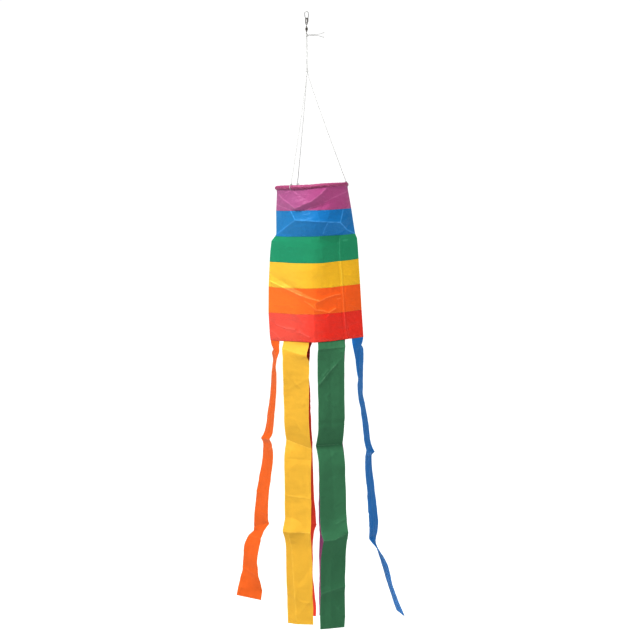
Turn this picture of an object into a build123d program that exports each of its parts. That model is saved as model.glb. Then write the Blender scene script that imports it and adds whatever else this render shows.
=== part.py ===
"""Hanging rainbow windsock: a snap swivel, a three-cord bridle, a hooped six-colour sock and six tails.

Millimetres, +Z up, +X to the right and +Y to the back. The origin is where a hook bears inside the
crown of the snap, so everything else hangs below it.
"""

import os
from math import atan2, cos, pi, radians, sin, sqrt, tan

from build123d import *

# ---- driving dimensions -------------------------------------------------------------------------
# Snap and swivel
SNAP_WIRE = 1.1  # diameter of the snap's spring wire
BOW_RADIUS = 4.0  # crown of the bow, to the middle of the wire
BEND_RADIUS = 1.9  # bottom bend that carries the swivel
SNAP_LENGTH = 28.4  # crown's inside to the middle of the bottom bend
GATE_GAP = 0.3  # play between the crown and the gate
CLASP_SHEET = 0.4
CLASP_TOP, CLASP_BOTTOM = -13.5, -25.9
SPINE_TOP, SPINE_BOTTOM = -16.4, -24.0  # the fold on its left side, clear of where the wire spreads
EYE_WIRE = 1.0
EYE_RADIUS = 2.3  # eye ring, to the middle of the wire
EYE_PLAY = 0.15
NECK = 2.1  # wrapped neck between eye ring and barrel
BARREL_LENGTH = 8.2
BARREL_RADIUS = 2.6
BARREL_END_RADIUS = 1.4
SHANK_RADIUS = 0.65
SHANK_PLAY = 0.07
HEAD_RADIUS = 1.4
HEAD_THICKNESS = 1.0
BARREL_LIP = 1.2  # closed end of the barrel that holds each head in

# Cords
CORD = 1.5  # diameter
LOOP_RADIUS = 1.4  # cord round the swivel's lower eye
EYE_KNOT_RADIUS = 2.3
JUNCTION_KNOT = (2.3, 6.4)  # radius, height
HOOP_KNOT_RADIUS = 2.0
HOOP_LOOP_RADIUS = 5.5
BRIDLE_ANGLES = {"right": -5.7, "back": 114.3, "front": 234.3}  # round the hoop from +X

# Hoop and sock
HOOP_RADIUS = 76.2  # six-inch hoop, to the middle of the rod
HOOP_ROD = 4.0
FERRULE_OUTER, FERRULE_BORE = 6.0, 4.2
FERRULE_ANGLE, ROD_GAP_ANGLE, JOINT_ANGLE = 22.0, 0.8, 54.0
SLEEVE_OUTER, SLEEVE_INNER = 4.4, 3.25  # radii of the rolled cloth round the hoop
HOOP_CENTRE = (11.0, 0.0, -386.6)
LEAN = 1.9  # the sock hangs with its right side a little high
CLOTH = 0.6
SOCK_GIRTH = 490.0
# Rings of the sock, top to bottom: how far below the hoop, half the width, how far the front is tipped up.
RINGS = [
    (3.5, 77.9, 8.5),
    (51.6, 84.0, 6.0),
    (108.8, 89.5, 6.0),
    (164.0, 99.5, 1.0),
    (220.2, 102.0, 1.0),
    (277.8, 103.3, 0.5),
    (338.6, 102.3, 0.0),
]
BAND_COLOURS = ["purple", "blue", "green", "yellow", "orange", "red"]
HEM_HEIGHT = 8.0
SEAM_POSITION, SEAM_WIDTH, SEAM_THICKNESS = 57.5, 8.0, 0.5

# Tails
TAIL_WIDTH = 62.0
TAIL_GAP = 1.0  # between the hem and a tail, with the hinge line in the middle
# Where each tail is sewn, as a length round the hem from the left crease, front side first. Then its
# stations: x, y, z of the strip's middle and the turn of its first and second half from +X.
TAILS = {
    "orange": (
        0.0,
        [
            (-76.5, 0.0, -800.0, -96, -76),
            (-74.5, 2.0, -866.0, -84, -74),
            (-92.0, 2.0, -1000.0, -70, -64),
            (-102.0, 2.0, -1140.0, -58, -56),
            (-124.0, 2.0, -1215.0, -56, -54),
            (-127.0, 2.0, -1298.0, -32, -28),
        ],
    ),
    "yellow": (
        74.0,
        [
            (-23.0, -49.0, -830.0, -16, -6),
            (-19.0, -48.0, -1000.0, -8, 0),
            (-13.5, -46.0, -1355.0, -6, -2),
        ],
    ),
    "green": (
        155.7,
        [
            (53.0, -51.0, -830.0, 16, 26),
            (57.0, -51.0, -1000.0, 22, 32),
            (57.5, -49.0, -1364.0, 24, 32),
        ],
    ),
    "blue": (
        237.3,
        [
            (117.0, -3.0, -800.0, 72, 90),
            (120.0, -2.0, -866.0, 78, 84),
            (136.0, 0.0, -985.0, 70, 72),
            (147.0, 0.0, -1165.0, 70, 72),
            (151.0, 0.0, -1200.0, 84, 88),
            (205.0, 0.0, -1332.0, 102, 100),
        ],
    ),
    "purple": (
        332.0,
        [
            (58.0, 50.0, -850.0, 172, 186),
            (55.5, 50.0, -1100.0, 174, 180),
            (56.5, 51.0, -1352.0, 176, 180),
        ],
    ),
    "red": (
        406.0,
        [
            (-15.0, 50.0, -850.0, 174, 190),
            (-14.0, 50.0, -1100.0, 178, 186),
            (-12.5, 51.0, -1350.0, 178, 184),
        ],
    ),
}

# ---- places that follow from them ---------------------------------------------------------------
WIRE_R = SNAP_WIRE / 2
CORD_R = CORD / 2
CROWN_Z = WIRE_R - BOW_RADIUS  # middle of the crown's arc
EYE_TOP_Z = -SNAP_LENGTH + WIRE_R + EYE_WIRE / 2 + EYE_PLAY
UPPER_EYE_Z = EYE_TOP_Z - EYE_RADIUS
BARREL_Z = UPPER_EYE_Z - EYE_RADIUS - EYE_WIRE / 2 - NECK - BARREL_LENGTH / 2
LOWER_EYE_Z = 2 * BARREL_Z - UPPER_EYE_Z
PIVOT_Z = LOWER_EYE_Z - EYE_RADIUS  # lowest wire of the lower eye, which the bridle hangs on
EYE_KNOT = (0.0, 0.0, PIVOT_Z - 3.2)
JUNCTION = (1.1, 0.0, -131.0)


def save(part, name):
    """Labels a finished piece and writes its STEP file."""
    part.part.label = name
    export_step(part.part, f"parts/{name}.step")


def leaning_plane(origin, pitch):
    """A plane across the sock: right side up by LEAN, front edge up by pitch."""
    lean, tip = radians(LEAN), radians(pitch)
    normal = (-sin(lean) * cos(tip), cos(lean) * sin(tip), cos(lean) * cos(tip))
    return Plane(origin=origin, x_dir=(cos(lean), 0, sin(lean)), z_dir=normal)


def ring_plane(depth, pitch):
    """The plane of a ring of the sock, depth below the hoop along the leaning axis."""
    lean = radians(LEAN)
    x, y, z = HOOP_CENTRE
    return leaning_plane((x + depth * sin(lean), y, z - depth * cos(lean)), pitch)


HOOP_PLANE = leaning_plane(HOOP_CENTRE, RINGS[0][2])
HEM_PLANE = ring_plane(RINGS[-1][0], RINGS[-1][2])


def lens_angle(half_width):
    """Half the angle of each of the two arcs that make a ring of SOCK_GIRTH this wide."""
    low, high = 0.01, radians(90)
    while high - low > 1e-9:
        angle = (low + high) / 2
        if half_width * angle / sin(angle) < SOCK_GIRTH / 4:
            low = angle
        else:
            high = angle
    return low


def lens(half_width):
    """The half angle, the radius and the centre's offset of a ring's two arcs."""
    angle = lens_angle(half_width)
    radius = half_width / sin(angle)
    return angle, radius, radius * cos(angle)


def ring_section(ring, inset):
    """A ring of the sock as a face: a front arc and a back arc that meet in a crease at each side."""
    depth, half_width, pitch = ring
    radius, centre = lens(half_width)[1:]
    width = sqrt((radius - inset) ** 2 - centre**2)
    sag = radius - inset - centre
    with BuildSketch(ring_plane(depth, pitch)) as section:
        with BuildLine():
            ThreePointArc((-width, 0), (0, -sag), (width, 0))
            ThreePointArc((width, 0), (0, sag), (-width, 0))
        make_face()
    return section.sketch


def panel_shell(upper, lower, outside, inside):
    """The cloth between two rings, from one depth under the sock's surface to another."""
    with BuildPart() as shell:
        loft([ring_section(upper, outside), ring_section(lower, outside)], ruled=True)
        loft(
            [ring_section(upper, inside), ring_section(lower, inside)],
            ruled=True,
            mode=Mode.SUBTRACT,
        )
    return shell.part


def hem_point(length, below):
    """A point under the hem, at a length round it from the left crease, front side first."""
    half_width = RINGS[-1][1] - CLOTH
    angle, radius, centre = lens(half_width)
    side, along = divmod(length, 2 * angle * radius)
    turn = angle - along / radius
    x, y = -radius * sin(turn), centre - radius * cos(turn)
    if side % 2:
        x, y = -x, -y
    return HEM_PLANE.from_local_coords(Vector(x, y, -below))


def route_wire(points, name):
    """A cord's line: straight runs joined by the largest tangent arcs that they leave room for."""
    points = [Vector(*p) for p in points]
    runs = [b - a for a, b in zip(points, points[1:])]
    radii = []
    for before, after in zip(runs, runs[1:]):
        turn = radians(before.get_angle(after))
        radii.append(0.45 * min(before.length, after.length) / tan(turn / 2))
    with BuildLine() as line:
        FilletPolyline(*points, radius=radii)
    print(name, "radii", [round(r, 1) for r in radii], "length", round(line.wires()[0].length, 1))
    return line.wires()[0]


def cord_tube(points, name):
    """A round cord along a route, as one solid."""
    path = route_wire(points, name)
    with BuildPart() as tube:
        with BuildSketch(Plane(origin=path @ 0, z_dir=path % 0)):
            Circle(CORD_R)
        sweep(path=path)
    expected = pi * CORD_R**2 * path.length
    print(name, "volume share", round(tube.part.volume / expected, 4))
    save(tube, name)
    return tube.part


def hoop_place(angle, outward=0.0, up=0.0):
    """A point near the hoop: at an angle round it, and off the rod's middle outward and up."""
    reach = HOOP_RADIUS + outward
    return HOOP_PLANE.from_local_coords(
        Vector(reach * cos(radians(angle)), reach * sin(radians(angle)), up)
    )


def across_hoop(angle):
    """The plane that cuts across the rod at an angle round the hoop, X outward and Y up."""
    outward = hoop_place(angle, 1) - hoop_place(angle)
    along = HOOP_PLANE.z_dir.cross(outward)
    return Plane(origin=hoop_place(angle), x_dir=outward, z_dir=-along)


def loop_start(angle):
    """The plane across a cord's loop round the sleeve, on its inner side."""
    across = across_hoop(angle)
    return Plane(
        origin=across.from_local_coords(Vector(-HOOP_LOOP_RADIUS, 0, 0)),
        x_dir=across.x_dir,
        z_dir=across.y_dir,
    )


os.makedirs("parts", exist_ok=True)

# ---- snap ---------------------------------------------------------------------------------------
# One spring wire: crown, long left leg, bottom bend and a short right leg that ends in the clasp.
with BuildPart() as snap_frame:
    with BuildLine(Plane.XZ) as frame_line:
        crown = ThreePointArc(
            (BOW_RADIUS, CROWN_Z), (0, WIRE_R), (-BOW_RADIUS, CROWN_Z)
        )
        leg = FilletPolyline(
            crown @ 1,
            (-BOW_RADIUS, -9.0),
            (-BEND_RADIUS, -15.5),
            (-BEND_RADIUS, -SNAP_LENGTH + BEND_RADIUS),
            radius=3.0,
        )
        bend = ThreePointArc(leg @ 1, (0, -SNAP_LENGTH), (BEND_RADIUS, -SNAP_LENGTH + BEND_RADIUS))
        Line(bend @ 1, (BEND_RADIUS, -17.5))
    with BuildSketch(Plane(origin=(BOW_RADIUS, 0, CROWN_Z), z_dir=(0, 0, 1))):
        Circle(WIRE_R)
    sweep(path=frame_line.wires()[0])
save(snap_frame, "snap_frame")

# The free leg of the bow, which springs outward to open the snap.
with BuildPart() as snap_gate:
    with BuildLine(Plane.XZ) as gate_line:
        FilletPolyline(
            (BOW_RADIUS, CROWN_Z - GATE_GAP),
            (BOW_RADIUS, -9.5),
            (BEND_RADIUS + SNAP_WIRE + 0.2, -15.5),
            (BEND_RADIUS + SNAP_WIRE + 0.2, -21.5),
            radius=3.0,
        )
    with BuildSketch(Plane(origin=(BOW_RADIUS, 0, CROWN_Z - GATE_GAP), z_dir=(0, 0, -1))):
        Circle(WIRE_R)
    sweep(path=gate_line.wires()[0])
    fillet(snap_gate.edges().filter_by(GeomType.CIRCLE).sort_by(Axis.Z)[0], WIRE_R * 0.8)
save(snap_gate, "snap_gate")

# Folded sheet round both legs, closed on the left and open on the right where the gate clips in.
with BuildPart() as snap_clasp:
    left = -BEND_RADIUS - WIRE_R - 0.05
    right = BEND_RADIUS + 1.5 * SNAP_WIRE + 0.5
    inside = WIRE_R + 0.2
    with BuildSketch(Plane.XZ):
        with BuildLine():
            Polyline(
                (left - CLASP_SHEET, CLASP_TOP - 1.2),
                (left + 0.8, CLASP_TOP),
                (right - 1.4, CLASP_TOP),
                (right, CLASP_TOP - 1.8),
                (right, CLASP_TOP - 7.5),
                (BEND_RADIUS + WIRE_R + 0.3, CLASP_BOTTOM + 1.6),
                (BEND_RADIUS - 0.4, CLASP_BOTTOM),
                (left + 0.6, CLASP_BOTTOM),
                (left - CLASP_SHEET, CLASP_BOTTOM + 1.4),
                close=True,
            )
        make_face()
    extrude(amount=inside + CLASP_SHEET, both=True)
    clasp_middle = (CLASP_TOP + CLASP_BOTTOM) / 2
    with Locations((left + 10, 0, clasp_middle)):
        Box(20, 2 * inside, 20, mode=Mode.SUBTRACT)
    with Locations((0, 0, SPINE_TOP + 10), (0, 0, SPINE_BOTTOM - 10)):
        Box(20, 2 * inside, 20, mode=Mode.SUBTRACT)
    with BuildSketch(Plane.XZ):
        with Locations((0, clasp_middle - 0.6)):
            SlotOverall(7.4, 1.5, rotation=90)
    extrude(amount=5, both=True, mode=Mode.SUBTRACT)
save(snap_clasp, "snap_clasp")

# ---- swivel -------------------------------------------------------------------------------------


def swivel_eye(name, ring_z, towards):
    """An eye of wire with a wrapped neck, and a shank whose head turns inside the barrel."""
    neck_z = ring_z + towards * (EYE_RADIUS + EYE_WIRE / 2)
    head_z = BARREL_Z - towards * (BARREL_LENGTH / 2 - BARREL_LIP - 0.1 - HEAD_THICKNESS / 2)
    shank = abs(head_z - (ring_z + towards * EYE_RADIUS))
    with BuildPart() as eye:
        with Locations(Plane(origin=(0, 0, ring_z), z_dir=(1, 0, 0))):
            Torus(EYE_RADIUS, EYE_WIRE / 2)
        with Locations((0, 0, head_z)):
            Cylinder(HEAD_RADIUS, HEAD_THICKNESS)
        with Locations((0, 0, head_z - towards * shank / 2)):
            Cylinder(SHANK_RADIUS, shank)
        for turn in (0.45, 1.2):
            with Locations((0, 0, neck_z + towards * turn)):
                Torus(SHANK_RADIUS + 0.25, 0.4)
    save(eye, name)


swivel_eye("swivel_upper_eye", UPPER_EYE_Z, -1)
swivel_eye("swivel_lower_eye", LOWER_EYE_Z, 1)

with BuildPart() as swivel_barrel:
    top, bottom = BARREL_Z + BARREL_LENGTH / 2, BARREL_Z - BARREL_LENGTH / 2
    with BuildSketch(Plane.XZ):
        with BuildLine():
            ThreePointArc((BARREL_END_RADIUS, top), (BARREL_RADIUS, BARREL_Z), (BARREL_END_RADIUS, bottom))
            Polyline((BARREL_END_RADIUS, bottom), (0, bottom), (0, top), (BARREL_END_RADIUS, top))
        make_face()
    revolve(axis=Axis.Z)
    with Locations((0, 0, BARREL_Z)):
        Cylinder(HEAD_RADIUS + 0.3, BARREL_LENGTH - 2 * BARREL_LIP, mode=Mode.SUBTRACT)
        Cylinder(SHANK_RADIUS + SHANK_PLAY, BARREL_LENGTH + 1, mode=Mode.SUBTRACT)
save(swivel_barrel, "swivel_barrel")

# ---- cords and knots ----------------------------------------------------------------------------
CORD_ROUTES = {
    "cord_end_upper": [
        (1.4, 0, -51.85),
        (10, 0.2, -50.5),
        (20, -0.3, -50.2),
        (30, 0.2, -49.2),
        (39, 0.9, -46.0),
    ],
    "cord_end_lower": [
        (1.5, 0, -53.45),
        (10, -0.2, -52.4),
        (20, 0.3, -52.5),
        (30, 0.0, -53.7),
        (38.5, -0.8, -56.4),
    ],
    "stem_cord_right": [(0.9, 0, -54.5), (1.5, 0.3, -80), (2.3, -0.1, -104), (2.0, 0, -129.5)],
    "stem_cord_left": [(-0.9, 0, -54.5), (-0.7, -0.3, -80), (-0.9, 0.1, -106), (0.2, 0, -129.5)],
}
BRIDLE_STARTS = {
    "right": [(2.3, 0, -133.0), (3.1, -0.3, -150.5)],
    "back": [(0.5, 0.95, -133.0), (0.9, 1.3, -154.0)],
    "front": [(0.5, -0.95, -133.0), (0.8, -1.3, -152.0)],
}
HOOP_KNOTS = {
    side: hoop_place(angle, up=HOOP_LOOP_RADIUS + 1.0) for side, angle in BRIDLE_ANGLES.items()
}
for side, start in BRIDLE_STARTS.items():
    knot = HOOP_KNOTS[side]
    CORD_ROUTES[f"bridle_cord_{side}"] = [*start, (knot.X, knot.Y, knot.Z + 0.5)]
CORDS = {name: cord_tube(route, name) for name, route in CORD_ROUTES.items()}

# The cord's loop round the lower eye, drawn up into a knot that the stem and both ends leave.
with BuildPart() as eye_knot:
    with Locations(Plane(origin=(0, 0, PIVOT_Z), z_dir=(0, 1, 0))):
        Torus(LOOP_RADIUS, CORD_R)
    with Locations(EYE_KNOT):
        Sphere(EYE_KNOT_RADIUS)
    for name in ("cord_end_upper", "cord_end_lower", "stem_cord_right", "stem_cord_left"):
        add(CORDS[name], mode=Mode.SUBTRACT)
save(eye_knot, "eye_knot")

# The stem's two strands and the three bridle cords meet here.
with BuildPart() as junction_knot:
    with Locations(JUNCTION):
        Cylinder(*JUNCTION_KNOT)
    fillet(junction_knot.edges().filter_by(GeomType.CIRCLE), 1.6)
    for name in ("stem_cord_right", "stem_cord_left", *[f"bridle_cord_{s}" for s in BRIDLE_ANGLES]):
        add(CORDS[name], mode=Mode.SUBTRACT)
save(junction_knot, "junction_knot")

# Each bridle cord goes through the cloth, round the hoop's sleeve and into a knot on top.
for side, angle in BRIDLE_ANGLES.items():
    with BuildPart() as hoop_knot:
        with BuildSketch(loop_start(angle)):
            Circle(CORD_R)
        revolve(axis=Axis(across_hoop(angle).origin, across_hoop(angle).z_dir))
        with Locations(HOOP_KNOTS[side]):
            Sphere(HOOP_KNOT_RADIUS)
        add(CORDS[f"bridle_cord_{side}"], mode=Mode.SUBTRACT)
    save(hoop_knot, f"hoop_knot_{side}")

# ---- hoop ---------------------------------------------------------------------------------------
HOOP_AXIS = Axis(HOOP_PLANE.origin, HOOP_PLANE.z_dir)

# A rod bent round until its ends nearly meet.
with BuildPart() as hoop_rod:
    with BuildSketch(across_hoop(JOINT_ANGLE + ROD_GAP_ANGLE / 2)):
        Circle(HOOP_ROD / 2)
    revolve(axis=HOOP_AXIS, revolution_arc=360 - ROD_GAP_ANGLE)
save(hoop_rod, "hoop_rod")

# The short tube that holds the rod's two ends together.
with BuildPart() as hoop_ferrule:
    with BuildSketch(across_hoop(JOINT_ANGLE - FERRULE_ANGLE / 2)):
        Circle(FERRULE_OUTER / 2)
        Circle(FERRULE_BORE / 2, mode=Mode.SUBTRACT)
    revolve(axis=HOOP_AXIS, revolution_arc=FERRULE_ANGLE)
save(hoop_ferrule, "hoop_ferrule")

# ---- sock ---------------------------------------------------------------------------------------
for colour, upper, lower in zip(BAND_COLOURS, RINGS, RINGS[1:]):
    with BuildPart() as panel:
        add(panel_shell(upper, lower, 0, CLOTH))
        if colour == "purple":  # the cloth is rolled over the hoop, and pierced for the three cords
            with Locations(HOOP_PLANE):
                Torus(HOOP_RADIUS, SLEEVE_OUTER)
                Torus(HOOP_RADIUS, SLEEVE_INNER, mode=Mode.SUBTRACT)
            for angle in BRIDLE_ANGLES.values():
                with BuildSketch(loop_start(angle)):
                    Circle(CORD_R + 0.3)
                revolve(
                    axis=Axis(across_hoop(angle).origin, across_hoop(angle).z_dir),
                    mode=Mode.SUBTRACT,
                )
    save(panel, f"{colour}_panel")

# The hem is a second thickness, turned up inside the last band.
with BuildPart() as bottom_hem:
    add(panel_shell(RINGS[-2], RINGS[-1], CLOTH, 2 * CLOTH))
    split(bisect_by=HEM_PLANE.offset(HEM_HEIGHT), keep=Keep.BOTTOM)
save(bottom_hem, "bottom_hem")

# The two edges of the cloth, sewn together in a strip up the inside of the sock.
with BuildPart() as side_seam:
    for upper, lower in zip(RINGS, RINGS[1:]):
        add(panel_shell(upper, lower, CLOTH, CLOTH + SEAM_THICKNESS))
    with BuildSketch(HEM_PLANE.offset(HEM_HEIGHT + 1)):
        with Locations((SEAM_POSITION, -60)):
            Rectangle(SEAM_WIDTH, 110)
    extrude(amount=RINGS[-1][0] - HEM_HEIGHT - 9, mode=Mode.INTERSECT)
save(side_seam, "side_seam")


# ---- tails --------------------------------------------------------------------------------------
def strip_section(first, middle, last, normal):
    """A strip of cloth cut across, folded lengthwise at its middle."""
    plane = Plane(origin=middle, x_dir=(last - first).normalized(), z_dir=normal)
    a, b = plane.to_local_coords(first), plane.to_local_coords(last)
    turn_a, turn_b = atan2(-a.Y, -a.X), atan2(b.Y, b.X)
    half = CLOTH / 2
    mitre = half / cos((turn_b - turn_a) / 2)
    side_a = (-sin(turn_a) * half, cos(turn_a) * half)
    side_b = (-sin(turn_b) * half, cos(turn_b) * half)
    mean = (turn_a + turn_b) / 2
    side_m = (-sin(mean) * mitre, cos(mean) * mitre)
    with BuildSketch(plane) as section:
        Polygon(
            (a.X - side_a[0], a.Y - side_a[1]),
            (-side_m[0], -side_m[1]),
            (b.X - side_b[0], b.Y - side_b[1]),
            (b.X + side_b[0], b.Y + side_b[1]),
            side_m,
            (a.X + side_a[0], a.Y + side_a[1]),
            align=None,
        )
    return section.sketch


def tail_sections(root, stations):
    """The strip's sections from the hem down."""
    half = TAIL_WIDTH / 2
    places = [hem_point(root + shift, TAIL_GAP) for shift in (-half, 0, half)]
    sections = [strip_section(*places, HEM_PLANE.z_dir)]
    for x, y, z, turn_a, turn_b in stations:
        middle = Vector(x, y, z)
        ahead_a = Vector(cos(radians(turn_a)), sin(radians(turn_a)), 0)
        ahead_b = Vector(cos(radians(turn_b)), sin(radians(turn_b)), 0)
        ends = middle - ahead_a * half, middle + ahead_b * half
        sections.append(strip_section(ends[0], middle, ends[1], Vector(0, 0, 1)))
    return sections


for colour, (root, stations) in TAILS.items():
    with BuildPart() as tail:
        loft(tail_sections(root, stations), ruled=True)
    save(tail, f"{colour}_tail")
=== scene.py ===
"""Looks of the hanging rainbow windsock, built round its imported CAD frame.

Shapes are worked out in millimetres in the frame's own axes: X to the right, Y to the back, Z up, with
the origin where a hook bears inside the snap's crown. Meshes are written in metres.
"""

from math import cos, degrees, pi, radians, sin

import bpy
import numpy as np
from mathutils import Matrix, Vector
from mathutils.geometry import delaunay_2d_cdt


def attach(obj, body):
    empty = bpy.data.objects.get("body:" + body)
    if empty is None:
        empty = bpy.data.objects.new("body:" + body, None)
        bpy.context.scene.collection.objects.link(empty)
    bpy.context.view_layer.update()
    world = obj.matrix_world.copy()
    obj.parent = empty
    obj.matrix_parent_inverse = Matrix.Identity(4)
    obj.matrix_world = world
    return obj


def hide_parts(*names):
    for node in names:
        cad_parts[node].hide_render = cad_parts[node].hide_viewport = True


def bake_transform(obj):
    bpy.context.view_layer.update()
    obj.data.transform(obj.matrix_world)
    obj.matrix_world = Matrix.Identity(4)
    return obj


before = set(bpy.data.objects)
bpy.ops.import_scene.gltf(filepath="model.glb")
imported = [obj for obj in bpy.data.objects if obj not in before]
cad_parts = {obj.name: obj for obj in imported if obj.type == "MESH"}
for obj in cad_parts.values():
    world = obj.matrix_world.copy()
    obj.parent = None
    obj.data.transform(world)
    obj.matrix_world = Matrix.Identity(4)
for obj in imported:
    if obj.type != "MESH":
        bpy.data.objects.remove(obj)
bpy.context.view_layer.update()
MM = 0.001

# ---- driving dimensions, as the frame was built --------------------------------------------------
COLOURS = ["purple", "blue", "green", "yellow", "orange", "red"]
HOOP_RADIUS = 76.2
HOOP_CENTRE = np.array([11.0, 0.0, -386.6])
LEAN = radians(1.9)  # the sock's right side hangs a little high
SLEEVE_RADIUS = 4.15
GIRTH = 490.0
BAND_EDGES = [2.6, 51.6, 108.8, 164.0, 220.2, 277.8, 338.6]  # depths below the hoop
HEM = BAND_EDGES[-1]
# The sock's outline. Each row has the depth, the half-width to the left and to the right of the leaning
# axis, how far the front edge is tipped up in degrees, and how far the front stands out.
OUTLINE = np.array([
    (0.0, 77.0, 78.6, 8.5, 77.5), (12.0, 76.6, 79.6, 8.2, 77.0), (51.6, 79.6, 85.4, 6.3, 74.0),
    (96.0, 80.6, 90.6, 6.0, 70.5), (105.0, 81.2, 91.6, 5.9, 69.8), (110.0, 84.6, 92.6, 5.6, 69.4),
    (119.0, 92.0, 96.0, 4.6, 68.3), (140.0, 95.2, 97.2, 2.8, 65.6), (164.0, 97.6, 97.8, 1.2, 62.8),
    (220.2, 101.8, 99.4, 1.0, 59.0), (277.8, 104.0, 100.8, 0.8, 57.0), (325.0, 102.8, 102.4, 0.2, 56.6),
    (338.6, 101.6, 102.8, 0.0, 56.6),
])
CLOTH = 0.22  # thickness
WEAVE = 0.42  # from one thread to the next
SEAM_OVERLAP = 6.0
SEAM_STITCHES = 1.6  # above a band's lower edge
HEM_TURN = 7.5  # how much cloth is turned up inside the hem
HEM_STITCHES = 5.4  # above the hem
SLEEVE_STITCHES = 6.4  # below the hoop
CORD_DIAMETER = 1.5
LOOP_RADIUS = 5.25  # the cord's loop round the sleeve
BRIDLE_ANGLES = {"right": -5.7, "back": 114.3, "front": 234.3}
PIVOT_Z = -49.8  # lowest wire of the swivel's lower eye
JUNCTION = np.array([1.1, 0.0, -131.0])

# The folds left from packing, on the front of the upper sock. Each point is across, depth, and how far the
# cloth stands out there. The cloth is flat between them, so a fold runs along each line of FOLD_LINES.
FOLD_POINTS = {
    "roll_left": (-75, 2, 0.0), "cord_hole": (-43, 6, -3.3), "roll_middle": (-8, 4, 0.6),
    "roll_fold": (35, 4, 1.2), "roll_right": (77, 2, 0.0), "flap_high": (21, 16, 4.8),
    "flap_middle": (-2, 32, 7.8), "flap_tip": (-36, 46, 11.4), "flap_left": (-49, 35, 7.8),
    "flap_left_high": (-65, 23, 3.0), "flap_left_end": (-72, 15, 0.9), "dip_left": (-79, 37, 0.0),
    "dip_low": (-48, 50, 1.5), "dip_tip": (-36, 53, 2.8), "dip_middle": (-15, 50, 0.9),
    "dip_right": (20, 38.5, -2.7), "dip_high": (41, 30, -3.0), "dip_end": (78, 15, 0.0),
    "tray_left": (-36, 71.5, 13.5), "tray_rim": (-2, 74.5, 12.0), "tray_rim_right": (32, 78, 12.6),
    "tray_right": (57, 80.5, 14.6), "corner_high": (67, 54, 2.1), "edge_high": (83, 40, 0.0),
    "edge_middle": (87, 75, 0.0), "corner_low": (73, 98, 4.5), "corner_end": (91, 108, 1.2),
    "tray_foot_left": (-79, 103, 0.0), "tray_foot_near": (-42, 108, -2.4), "tray_foot": (2, 110, -5.4),
    "tray_foot_far": (50, 108, -3.3), "shoulder_left": (-91, 120, 0.0), "shoulder_right": (97, 117, 0.0),
    "rest_left": (-94, 138, 0.0), "rest_near": (-45, 130, 0.4), "rest_middle": (0, 134, 0.0),
    "rest_far": (48, 128, -0.6), "rest_right": (97, 138, 0.0),
}
FOLD_LINES = [
    ("roll_fold", "flap_high", "flap_middle", "flap_tip"),
    ("flap_tip", "flap_left", "flap_left_high", "flap_left_end"),
    ("dip_left", "dip_low", "dip_tip", "dip_middle", "dip_right", "dip_high", "dip_end"),
    ("dip_low", "tray_left"),
    ("tray_left", "tray_rim", "tray_rim_right", "tray_right"),
    ("tray_left", "tray_foot_left"),
    ("tray_right", "corner_high"),
    ("tray_right", "corner_low", "corner_end"),
]
# How pale each of those is painted: thread paled where it was bent, and a painted highlight along the fold.
FOLD_PALENESS = [0.5, 0.4, 0.3, 0.7, 0.75, 0.45, 0.7, 0.6]
# Softer folds: points of across and depth, how far they stand out, how far they reach, and how pale they are
# painted along them: thread paled where it was bent, and a painted highlight.
CREASES = [
    ([(-97, 192), (-52, 217.5), (8, 247)], -3.0, 13, 0.0),
    ([(-97, 205.5), (-41, 231), (-15, 240.5), (8, 247)], 4.4, 17, 0.6),
    ([(8, 249), (27, 241.5), (44, 237.5), (55, 238)], 1.5, 8, 0.5), ([(48, 247), (56, 246.5)], 1.1, 5, 0.3),
    ([(8, 249), (-2, 255), (1, 264)], 1.3, 7, 0.2), ([(-23, 248), (-8, 258), (0, 267)], 1.1, 7, 0.3),
    ([(0, 267), (17, 270), (29, 275), (44, 267)], 1.4, 7, 0.5), ([(30, 277), (24, 286)], 0.8, 6, 0.2),
    ([(-45, 276), (-24, 298), (-16, 318)], 2.8, 18, 0.0), ([(-4, 262), (-5, 300), (-5, 338)], 4.2, 32, 0.05),
    ([(-102, 296), (-85, 307), (-69, 312)], -2.4, 9, 0.0),
    ([(-87, 303), (-64, 310), (-48, 311)], 2.6, 9, 0.4), ([(-102, 315), (-89, 323), (-79, 334)], 2.2, 9, 0.3),
    ([(-38, 316), (-26, 321), (-15, 326)], 1.9, 8, 0.5), ([(68, 313), (73, 338)], -2.4, 7, 0.3),
    ([(4, 320), (6, 338)], -1.0, 7, 0.0), ([(31, 82), (26, 92), (22, 103)], 1.5, 7, 0.5),
    ([(-58, 12), (-43, 6), (-33, 15)], 1.3, 7, 0.3), ([(-43, 7), (-60, 24)], 1.1, 12, 0.0),
    ([(-24, 74), (-12, 88), (4, 93)], 0.8, 10, 0.0), ([(10, 54), (14, 74)], 1.0, 10, 0.1),
    ([(65, 120), (75, 119.5)], 1.0, 5, 0.4), ([(-86, 124), (-74, 140), (-72, 162)], -1.7, 18, 0.0),
    ([(18, 118), (20, 164)], 1.4, 30, 0.0), ([(-70, 190), (-20, 178), (40, 186)], 0.8, 26, 0.0),
    ([(60, 190), (80, 205), (92, 214)], 0.8, 12, 0.05), ([(72, 262), (96, 275)], 0.8, 10, 0.1),
]
SEAM_LINE = [(56, 12), (57, 114), (57, 160), (59.5, 194), (61, 250), (63.5, 305), (68, 338)]

# ---- camera and light ----------------------------------------------------------------------------
CAMERA_ELEVATION = radians(8.5)
CAMERA_DISTANCE = 40.0
SENSOR = 36.0
VIEW_HEIGHT = 1.408  # height of the picture at the object, in metres
VIEW_CENTRE = Vector((0.0295, 0.0, -0.684))
FLOOR_Z = -2.4
FLOOR_HALF = 90.0  # half the floor's width
SKY_STRENGTH = 0.16  # of the light from all round
CEILING_STRENGTH = 3.0
CONTRAST = 0.72  # the view's gamma: the firm contrast of a product picture


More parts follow.
